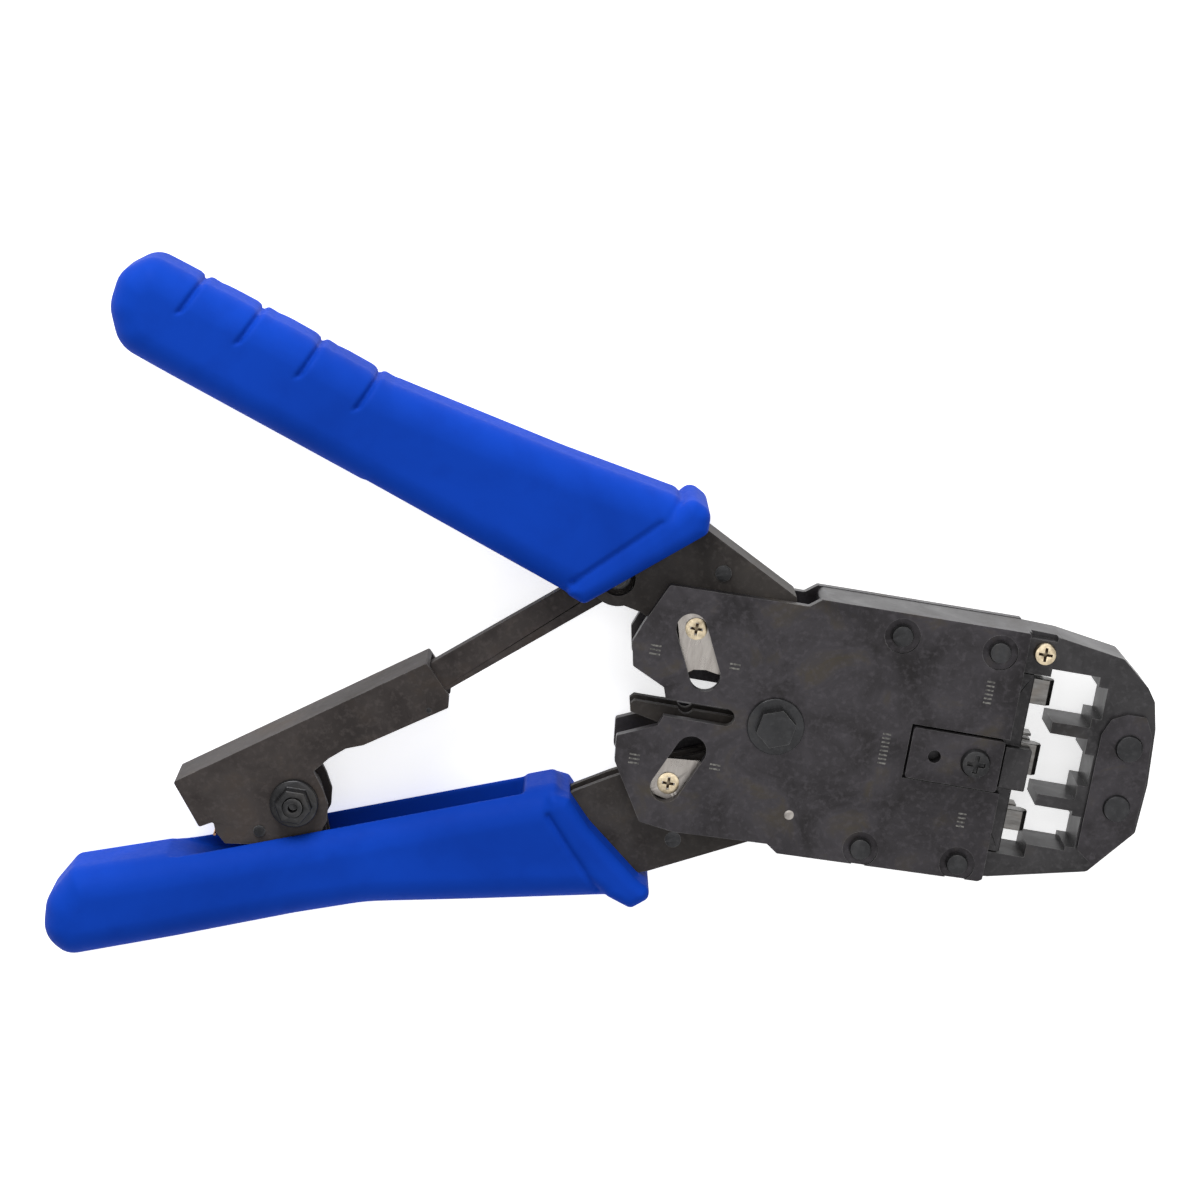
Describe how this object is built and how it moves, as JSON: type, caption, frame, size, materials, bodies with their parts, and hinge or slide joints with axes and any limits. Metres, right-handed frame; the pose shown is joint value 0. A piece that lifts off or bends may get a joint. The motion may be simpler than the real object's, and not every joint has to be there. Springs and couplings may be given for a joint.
{
  "type": "modular plug crimping tool",
  "caption": "Ratcheting hand crimper for modular plugs: plug windows in a steel nose, sliding ram, cable stripping blades, two blue grips and a telescoping ratchet link.",
  "frame": {"origin": "main pivot axis at the face of the rear nut, which lies on the table when the tool lies on its side", "axes": "+X along the head towards the nose, +Y across the tool towards the upper handle, +Z out of the marked near face"},
  "size_m": [0.2029, 0.1328, 0.021],
  "materials": {
    "plate_steel": "black-oxide, satin, blotchy",
    "frame_steel": "black-oxide, satin",
    "lever_steel": "brownish black-oxide, satin",
    "link_steel": "brownish black-oxide, satin",
    "fastener_steel": "black-oxide, semi-gloss",
    "die_steel": "ground dark tool steel",
    "blade_steel": "ground, warm silver",
    "spring_steel": "drawn wire",
    "pale_brass": "pale yellow zinc plating",
    "copper_spring": "coppery drawn wire",
    "blue_vinyl": "moulded soft vinyl, satin"
  },
  "bodies": {
    "head": {"near_side_plate": "plate_steel", "far_side_plate": "plate_steel", "die_frame": "frame_steel", "anvil_plate": "plate_steel", "anvil_rivets": "fastener_steel", "frame_rivets": "fastener_steel", "frame_screw": "pale_brass", "main_pivot_bolt": "fastener_steel", "main_pivot_nut": "fastener_steel", "pivot_washers": "fastener_steel", "pivot_bush": "fastener_steel", "plate_dowel": "pale_brass", "return_spring": "spring_steel"},
    "ram": {"ram": "frame_steel", "punch_comb_8p": "die_steel", "punch_comb_6p": "die_steel", "punch_comb_4p": "die_steel", "strain_bar_8p": "die_steel", "strain_bar_6p": "die_steel", "strain_bar_4p": "die_steel", "retainer_bar": "plate_steel", "retainer_screw": "fastener_steel"},
    "upper_handle": {"upper_lever": "lever_steel", "upper_grip": "blue_vinyl", "upper_blade": "blade_steel", "upper_blade_screw": "pale_brass", "upper_lever_rivet": "fastener_steel"},
    "lower_handle": {"lower_lever": "lever_steel", "lower_grip": "blue_vinyl", "lower_blade": "blade_steel", "lower_blade_screw": "pale_brass", "lower_lever_rivet": "fastener_steel", "ratchet_pivot_bolt": "fastener_steel", "ratchet_pivot_nut": "fastener_steel", "ratchet_spacers": "fastener_steel"},
    "ratchet_housing": {"ratchet_housing": "link_steel", "pawl_pin": "fastener_steel", "guide_pin": "fastener_steel", "pawl_spring": "copper_spring"},
    "ratchet_bar": {"ratchet_bar": "link_steel", "link_pin": "fastener_steel", "link_spacers": "fastener_steel"},
    "pawl": {"pawl": "fastener_steel"}
  },
  "joints": [
    {"name": "upper_handle_swing", "type": "hinge", "parent": "head", "child": "upper_handle", "pos_m": [0, 0, 0.0105], "axis": [0, 0, 1], "range_deg": [0, 15], "stiffness_Nm_per_rad": 0.4, "springref_deg": -28.65, "deforming": ["return_spring"]},
    {"name": "lower_handle_swing", "type": "hinge", "parent": "head", "child": "lower_handle", "pos_m": [0, 0, 0.0105], "axis": [0, 0, -1], "range_deg": [0, 15]},
    {"name": "ram_slide", "type": "slide", "parent": "head", "child": "ram", "axis": [1, 0, 0], "range_m": [0, 0.00419]},
    {"name": "ratchet_swing", "type": "hinge", "parent": "lower_handle", "child": "ratchet_housing", "pos_m": [-0.0852, -0.03, 0.01], "axis": [0, 0, -1], "range_deg": [0, 9.85]},
    {"name": "ratchet_bar_slide", "type": "slide", "parent": "ratchet_housing", "child": "ratchet_bar", "axis": [-0.7649, -0.6441, 0], "range_m": [0, 0.01815]},
    {"name": "pawl_swing", "type": "hinge", "parent": "ratchet_housing", "child": "pawl", "pos_m": [-0.09074, -0.03662, 0.01], "axis": [0, 0, -1], "range_deg": [0, 10], "stiffness_Nm_per_rad": 0.01, "springref_deg": -17.19, "deforming": ["pawl_spring"]}
  ],
  "couplings": [
    {"joint": "lower_handle_swing", "follows": "upper_handle_swing", "ratio": 1},
    {"joint": "ram_slide", "follows": "upper_handle_swing", "m_per_rad": 0.015954},
    {"joint": "ratchet_swing", "follows": "upper_handle_swing", "ratio": 0.655},
    {"joint": "ratchet_bar_slide", "follows": "upper_handle_swing", "m_per_rad": 0.06929}
  ]
}
